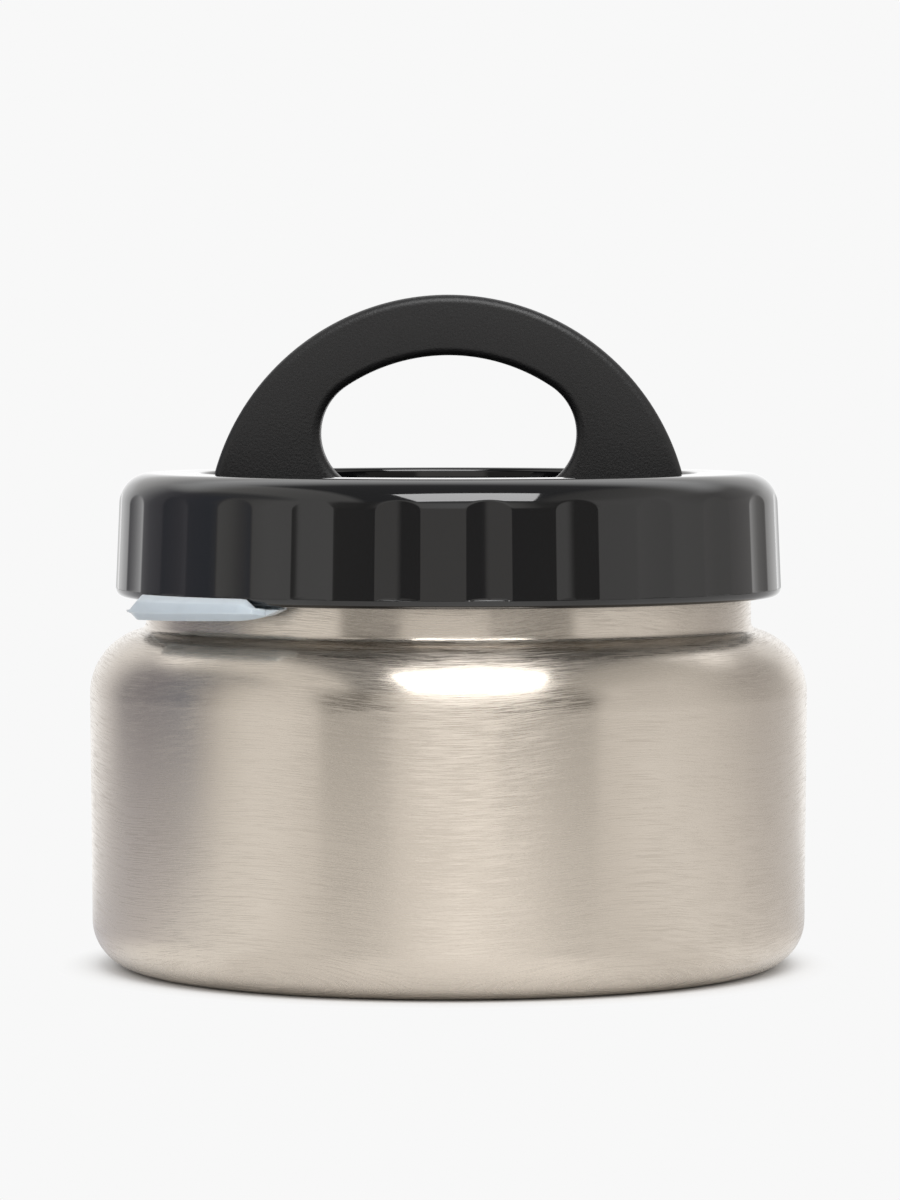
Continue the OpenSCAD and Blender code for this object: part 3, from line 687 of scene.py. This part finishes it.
# Sections of the tab from its free end to its root: angle from the front towards the left,
# the bar's foot, ridge and top heights, and how far its top, ridge and foot stand out
TAB_STATIONS = [
    (65.5, 60.22, 60.26, 60.30, 57.2, 57.35, 57.2),
    (64.3, 60.05, 60.26, 60.50, 56.9, 57.5, 57.1),
    (62.5, 59.10, 60.28, 62.9, 56.15, 57.6, 56.8),
    (61.7, 59.08, 60.30, 63.2, 56.15, 57.6, 56.8),
    (56.2, 59.20, 60.46, 63.22, 56.15, 57.6, 56.8),
    (49.2, 59.38, 60.66, 63.26, 56.15, 57.6, 56.8),
    (42.2, 59.60, 60.86, 63.30, 56.15, 57.6, 56.8),
    (35.2, 59.84, 61.04, 63.34, 56.15, 57.6, 56.8),
    (34.2, 59.92, 61.08, 63.25, 56.15, 57.6, 56.7),
    (32.4, 60.20, 61.10, 61.95, 56.05, 57.2, 56.3),
]
# Where the tab's root thins out under the skirt: angle and the web's foot height
TAB_ROOT = [(31.2, 60.6), (29.8, 61.1), (28.6, 61.6)]


def tab_section(station):
    """The tab's section at one station as (radius, height): riser, web and bar."""
    _, foot, ridge, top, top_r, ridge_r, foot_r = station
    high = min(WEB_TOP, top - 0.05)
    low = min(max(foot + 0.3, 60.2), high - 0.3)
    mid = (top + ridge) / 2 + 0.1
    return [
        (RISER_R[0], RISER_TOP), (RISER_R[0], low), (54.6, low), (55.2, foot), (foot_r, foot),
        (ridge_r, ridge - 0.04), (ridge_r, ridge + 0.04),
        ((top_r + ridge_r) / 2 + 0.2, mid + 0.2), (top_r, top), (BAR_BACK_R, top),
        (BAR_BACK_R, high), (RISER_R[1], high), (RISER_R[1], RISER_TOP)]


def root_section(foot):
    """The same at the root, where only the web is left."""
    return [
        (RISER_R[0], RISER_TOP), (RISER_R[0], foot + 0.1), (53.0, foot), (54.0, foot),
        (54.8, foot), (55.0, foot + 0.05), (55.0, foot + 0.1), (54.9, WEB_TOP - 0.02),
        (54.7, WEB_TOP), (54.2, WEB_TOP), (53.6, WEB_TOP), (RISER_R[1], WEB_TOP),
        (RISER_R[1], RISER_TOP)]


def pull_tab():
    """The seal ring with its wiping lip, and the tab with its moulded ridge."""
    verts, faces = spun(soften(SEAL_RING, SEAL_EDGES), True, ALL_ROUND)
    sections = [(station[0], tab_section(station)) for station in TAB_STATIONS]
    sections += [(angle, root_section(foot)) for angle, foot in TAB_ROOT]
    base, n = len(verts), len(sections[0][1])
    for angle, section in sections:
        t = math.radians(angle)
        verts += [(-r * math.sin(t), -r * math.cos(t), z) for r, z in section]
    for k in range(len(sections) - 1):
        a, b = base + k * n, base + (k + 1) * n
        for i in range(n):
            j = (i + 1) % n
            faces.append((a + i, a + j, b + j, b + i))
    last = base + (len(sections) - 1) * n
    faces += [tuple(range(base, base + n)), tuple(range(last, last + n))]
    obj = piece("seal_and_tab", verts, faces, BLUE_SILICONE, "lid")
    edge = obj.modifiers.new("edges", "BEVEL")
    edge.width, edge.segments, edge.angle_limit = TAB_EDGE * MM, 2, math.radians(20)
    return dress(obj, BLUE_SILICONE, "lid", ["tab_seal"])


pull_tab()


# ---- Handle ----

# Angles over an edge's quarter round, and over the handle's half-moon rim
QUARTER_ROUND = np.radians(np.linspace(0, 90, 9))
HALF_MOON = np.radians(np.linspace(0, 180, 129))


def opening_loop(count):
    """The finger opening's outline as points with outward normals, evenly by angle."""
    end_x = OPENING_A - OPENING_END
    long_r = (end_x ** 2 + OPENING_B ** 2 - OPENING_END ** 2) / (
        2 * (OPENING_B - OPENING_END))
    long_y = long_r - OPENING_B
    half = math.degrees(math.atan2(long_y, end_x))
    loop = []
    for centre, r, start, span in (
            ((end_x, 0), OPENING_END, -half, 2 * half),
            ((0, -long_y), long_r, half, 180 - 2 * half),
            ((-end_x, 0), OPENING_END, 180 - half, 2 * half),
            ((0, long_y), long_r, 180 + half, 180 - 2 * half)):
        for i in range(count // 4):
            t = math.radians(start + span * i * 4 / count)
            loop.append((centre[0] + r * math.cos(t), centre[1] + r * math.sin(t),
                         math.cos(t), math.sin(t)))
    return loop


def handle():
    """The half-moon handle: flat faces, rounded rim and opening, and the half-round bar under
    the hinge's axis, which turns on the pins."""
    flat, half_t = HANDLE_R - EDGE_R, HANDLE_T / 2
    plan = [(flat + EDGE_R * math.sin(t), -half_t + EDGE_R * (1 - math.cos(t)))
            for t in QUARTER_ROUND]
    plan += [(HANDLE_R, (EDGE_R - half_t) / 2), (HANDLE_R, 0)]
    plan = plan + [(x, -y) for x, y in plan[-2::-1]]
    verts, faces = [], []

    def grid(rows, wrap=False):
        """Adds a grid of points, given as rows of equal length."""
        base, n = len(verts), len(rows[0])
        verts.extend(p for row in rows for p in row)
        for k in range(len(rows) - 1):
            for i in range(n if wrap else n - 1):
                j = (i + 1) % n
                faces.append((base + k * n + i, base + k * n + j,
                              base + (k + 1) * n + j, base + (k + 1) * n + i))

    # Rim over the arc
    grid([[(x * math.cos(t), y, x * math.sin(t)) for x, y in plan] for t in HALF_MOON])
    # Bar under the hinge's axis, with its ends turned from the same section
    span = [(x, -half_t) for x in np.linspace(0, flat, 25)[:-1]] + plan[:len(plan) // 2 + 1]
    for side in (-1, 1):
        grid([[(side * x, y * math.cos(t), y * math.sin(t)) for x, y in span]
              for t in np.radians(np.linspace(0, 180, 33))])
    # Flat faces between the rim and the opening
    loop = opening_loop(256)
    outline = [(flat * math.cos(t), flat * math.sin(t)) for t in HALF_MOON]
    outline += [(x, 0) for x in np.linspace(-flat, flat, 49)[1:-1]]
    hole = [(p[0] + EDGE_R * p[2], p[1] + EDGE_R * p[3] + OPENING_Z) for p in loop]
    for side in (-1, 1):
        bm = bmesh.new()
        edges = []
        for ring in (outline, hole):
            made = [bm.verts.new((q[0], side * half_t, q[1])) for q in ring]
            edges += [bm.edges.new((made[i], made[(i + 1) % len(made)]))
                      for i in range(len(made))]
        bmesh.ops.triangle_fill(bm, use_beauty=True, use_dissolve=False, edges=edges)
        bm.verts.index_update()
        base = len(verts)
        verts.extend(tuple(v.co) for v in bm.verts)
        faces.extend(tuple(base + v.index for v in f.verts) for f in bm.faces)
        bm.free()
    # Rounded wall of the opening
    inner = [(EDGE_R * (1 - math.sin(t)), -half_t + EDGE_R * (1 - math.cos(t)))
             for t in QUARTER_ROUND]
    inner = inner + [(o, -y) for o, y in inner[::-1]]
    grid([[(p[0] + o * p[2], y, p[1] + o * p[3] + OPENING_Z) for p in loop]
          for o, y in inner], wrap=True)
    verts = [(x, y, z + PIVOT_Z) for x, y, z in verts]
    obj = piece("folding_handle", verts, faces, GRAIN_PLASTIC, "grip")
    return dress(obj, GRAIN_PLASTIC, "grip", ["handle"])


handle()


# ---- Studio ----

WHITE = "#f8f8f8"  # the photograph's background

# Tone of the room level with the jar: angle from the camera towards the right, in degrees,
# and sRGB colour
LEVEL = [(-180, "#ffffff"), (-156, "#fafafa"), (-140, "#d8d7d8"), (-126, "#97969b"),
         (-112, "#8a8990"), (-90, "#888c96"), (-82, "#adabab"), (-74, "#d4d2ce"),
         (-64, "#e9e7e4"), (-41, "#e9e7e4"), (-39, "#84827e"), (-18, "#7c7a78"),
         (-16, "#cecbc7"), (15, "#cecbc7"), (17, "#7c7a78"), (47, "#7e7c78"),
         (50, "#e0dedb"), (88, "#dedcd9"), (106, "#c4c2bf"), (118, "#b9b6b4"),
         (136, "#bebcba"), (152, "#f0efee"), (164, "#ffffff"), (180, "#ffffff")]
# The same 20 degrees further up
RAISED = [(-180, "#ecebea"), (-150, "#ecebea"), (-138, "#cecdce"), (-126, "#97969b"),
          (-112, "#8a8990"), (-94, "#888c96"), (-84, "#adabab"), (-74, "#d4d2ce"),
          (-64, "#e9e7e4"), (-47, "#e9e7e4"), (-40, "#92908c"), (-28, "#7e7c78"),
          (-20, "#c4c2be"), (-12, "#f8f6f2"), (4, "#ffffff"), (18, "#f8f6f2"),
          (27, "#dad8d4"), (34, "#8e8c88"), (46, "#82807c"), (56, "#e0dedb"),
          (88, "#dedcd9"), (106, "#bebcb9"), (118, "#aeaba9"), (140, "#b3b1af"),
          (154, "#e9e8e7"), (180, "#ecebea")]
# Tone overhead: how far to the right the direction leans, from -1 to 1, and sRGB colour
ABOVE = [(-1, "#f4f4f4"), (-0.88, "#a8a8a8"), (-0.77, "#acacac"), (-0.68, "#f4f2ee"),
         (-0.47, "#fbf9f5"), (-0.42, "#8c8c8c"), (0.44, "#8c8c8c"), (0.52, "#bcbab6"),
         (0.75, "#d8d6d2"), (1, "#f8f6f4")]
# What the table shows in the steel, a painted reflection that it glows with: angle as for the
# room's walls, and sRGB colour
TABLE = [(-180, "#ffffff"), (-152, "#f8f8f8"), (-124, "#cbcacd"), (-108, "#c2c1c5"),
         (-86, "#d0ced0"), (-64, "#f2f1ef"), (-47, "#f6f5f3"), (-38, "#e6e4e1"),
         (-24, "#e4e2df"), (-13, "#eeece9"), (4, "#faf8f5"), (20, "#fbf9f6"),
         (32, "#eceae7"), (42, "#e2e0dd"), (50, "#e8e6e3"), (62, "#f4f3f1"),
         (92, "#e6e4e2"), (116, "#d0cecd"), (138, "#d6d5d5"), (154, "#f8f8f8"),
         (180, "#ffffff")]
# Brightness of the room's white, of the table's painted glow, and of a lamp overhead behind the
# jar
ROOM_LIGHT, TABLE_LIGHT, BACK_LIGHT = 1.15, 1.2, 1.5
# How steeply a direction rises, from 0 to 1, where the level walls give way to the raised
# ones and these to the ceiling, and how far back it leans where the lamp overhead starts
RAISED_FROM, CEILING_FROM, BACK_FROM = (0.17, 0.28), (0.45, 0.65), (0.25, 0.6)
# The table's edges in metres, and the distances from the axis between which its shadow fades
# into its painted glow
TABLE_LEFT, TABLE_RIGHT, TABLE_FRONT, TABLE_BACK = -0.45, 0.9, -0.9, 0.9
SHADOW_FADE = (0.0525, 0.066)
# Softbox: degrees to the right and up, then its distance, its width and height and how far
# it is raised, in metres, and its brightness, where 1 is white
BOX_TURN, BOX_RISE = 11.0, 53.0
BOX_AWAY, BOX_SIZE, BOX_UP, BOX_LEVEL = 1.5, (1.0, 0.8), 0.07, 7.0
# Camera: degrees to the right, degrees down, distance, height and step aside in metres, and
# its lens, film width and nearest point
CAMERA_TURN, CAMERA_TILT = 0.85, 2.521
CAMERA_AWAY, CAMERA_UP, CAMERA_ASIDE = 0.916, 0.1015, 0.00025
LENS, FILM_W, NEAR_END = 164.1, 36.0, 0.05


def tones(tree, value, stops):
    """The tone that belongs to a value, from stops of (value, sRGB colour)."""
    low, high = stops[0][0], stops[-1][0]
    place = node(tree, "ShaderNodeMapRange", {"Value": value, "From Min": low, "From Max": high})
    made = node(tree, "ShaderNodeValToRGB", (place,))
    band = made.color_ramp
    for i, (at, tone) in enumerate(stops):
        share = (at - low) / (high - low)
        stop = band.elements[i] if i < 2 else band.elements.new(share)
        stop.position, stop.color = share, colour(tone)
    return made


def angle_round(tree, axes):
    """A direction's angle from the camera's side towards the right, in degrees."""
    front = node(tree, "ShaderNodeMath", (axes[1], -1.0), operation="MULTIPLY")
    angle = node(tree, "ShaderNodeMath", (axes[0], front), operation="ARCTAN2")
    return node(tree, "ShaderNodeMath", (angle,), operation="DEGREES")


def studio_world():
    """White to the eye. What the jar reflects is a room with pale walls, dark gaps beside the
    camera, a dark corner on the left, and a ceiling that is dark in the middle and bright
    behind the jar."""
    world = bpy.data.worlds.new("studio")
    bpy.context.scene.world = world
    world.use_nodes = True
    tree = world.node_tree
    tree.nodes.clear()
    aim = node(tree, "ShaderNodeSeparateXYZ", (
        node(tree, "ShaderNodeTexCoord").outputs["Generated"],)).outputs
    raised, ceiling, behind = (node(tree, "ShaderNodeMapRange", {
        "Value": value, "From Min": low, "From Max": high}, interpolation_type="SMOOTHSTEP")
        for value, (low, high) in ((aim[2], RAISED_FROM), (aim[2], CEILING_FROM),
                                   (aim[1], BACK_FROM)))
    towards = angle_round(tree, aim)
    room = node(tree, "ShaderNodeMix", {
        "Factor": raised, 6: tones(tree, towards, LEVEL), 7: tones(tree, towards, RAISED)},
        data_type="RGBA")
    room = node(tree, "ShaderNodeVectorMath", {0: room, "Scale": ROOM_LIGHT},
                operation="SCALE")
    room = node(tree, "ShaderNodeMix", {
        "Factor": ceiling, 6: room, 7: tones(tree, aim[0], ABOVE)}, data_type="RGBA")
    lamp = node(tree, "ShaderNodeMath", (ceiling, behind), operation="MULTIPLY")
    room = node(tree, "ShaderNodeMix", {
        "Factor": lamp, 6: room, 7: [BACK_LIGHT] * 3 + [1]}, data_type="RGBA")
    seen = node(tree, "ShaderNodeLightPath").outputs["Is Camera Ray"]
    mixed = node(tree, "ShaderNodeMix", {"Factor": seen, 6: room, 7: colour(WHITE)},
                 data_type="RGBA")
    light = node(tree, "ShaderNodeBackground", {"Color": mixed, "Strength": 1.0})
    node(tree, "ShaderNodeOutputWorld", {"Surface": light})


def floor():
    """A pale table that keeps the jar's shadow near the jar. Further out it glows, white to the
    eye and in painted tones where glossy faces mirror it, and so fades into the white
    background. It is shorter on the left, where the neck and shoulder mirror the room instead."""
    mesh = bpy.data.meshes.new("floor")
    mesh.from_pydata([(TABLE_LEFT, TABLE_FRONT, 0), (TABLE_RIGHT, TABLE_FRONT, 0),
                      (TABLE_RIGHT, TABLE_BACK, 0), (TABLE_LEFT, TABLE_BACK, 0)],
                     [], [(0, 1, 2, 3)])
    obj = bpy.data.objects.new("floor", mesh)
    bpy.context.scene.collection.objects.link(obj)
    material = bpy.data.materials.new("white board with painted glow")
    material.use_nodes = True
    tree = material.node_tree
    tree.nodes.clear()
    place = node(tree, "ShaderNodeTexCoord").outputs["Object"]
    away = node(tree, "ShaderNodeVectorMath", (place,), operation="LENGTH")
    fade = node(tree, "ShaderNodeMapRange", {
        "Value": away, "From Min": SHADOW_FADE[0], "From Max": SHADOW_FADE[1]},
        interpolation_type="SMOOTHSTEP")
    rays = node(tree, "ShaderNodeLightPath").outputs
    seen = node(tree, "ShaderNodeMath", (rays["Is Glossy Ray"], rays["Is Transmission Ray"]),
                operation="MAXIMUM")
    seen = node(tree, "ShaderNodeMath", (rays["Is Camera Ray"], seen), operation="MAXIMUM")
    axes = node(tree, "ShaderNodeSeparateXYZ", (place,)).outputs
    # Painted glow: tones by angle round the jar, with darker dips for painted shade, seen in
    # glossy and clear faces; plain white to the eye
    tone = node(tree, "ShaderNodeVectorMath", {
        0: tones(tree, angle_round(tree, axes), TABLE), "Scale": TABLE_LIGHT},
        operation="SCALE")
    tone = node(tree, "ShaderNodeMix", {
        "Factor": rays["Is Camera Ray"], 6: tone, 7: colour(WHITE)}, data_type="RGBA")
    mixed = node(tree, "ShaderNodeMixShader", (
        node(tree, "ShaderNodeMath", (seen, fade), operation="MULTIPLY"),
        node(tree, "ShaderNodeBsdfDiffuse", {"Color": colour("#e7e7e7")}),
        node(tree, "ShaderNodeEmission", {"Color": tone, "Strength": 1.0})))
    node(tree, "ShaderNodeOutputMaterial", {"Surface": mixed})
    mesh.materials.append(material)


def softbox():
    """A softbox in front of the jar, high up and aimed down at it."""
    data = bpy.data.lights.new("key softbox", "AREA")
    data.shape, (data.size, data.size_y) = "RECTANGLE", BOX_SIZE
    data.energy = BOX_LEVEL * math.pi * data.size * data.size_y
    obj = bpy.data.objects.new("key softbox", data)
    bpy.context.scene.collection.objects.link(obj)
    turn, rise = math.radians(BOX_TURN), math.radians(BOX_RISE)
    aim = (math.sin(turn) * math.cos(rise), -math.cos(turn) * math.cos(rise), math.sin(rise))
    obj.location = [BOX_AWAY * c for c in aim]
    obj.location.z += BOX_UP
    obj.rotation_mode = "QUATERNION"
    obj.rotation_quaternion = obj.location.to_track_quat("Z", "Y")
    obj.visible_camera = False


def camera():
    """The photograph's camera: 0.92 m away, a little above the lid and a little to the right,
    with a long lens."""
    data = bpy.data.cameras.new("camera")
    data.lens, data.sensor_width, data.clip_start = LENS, FILM_W, NEAR_END
    obj = bpy.data.objects.new("camera", data)
    bpy.context.scene.collection.objects.link(obj)
    turn = math.radians(CAMERA_TURN)
    obj.location = (CAMERA_ASIDE * math.cos(turn) + CAMERA_AWAY * math.sin(turn),
                    CAMERA_ASIDE * math.sin(turn) - CAMERA_AWAY * math.cos(turn), CAMERA_UP)
    obj.rotation_euler = (math.radians(90 - CAMERA_TILT), 0, turn)
    bpy.context.scene.camera = obj


studio_world()
floor()
softbox()
camera()
bpy.context.scene.view_settings.view_transform = "Standard"
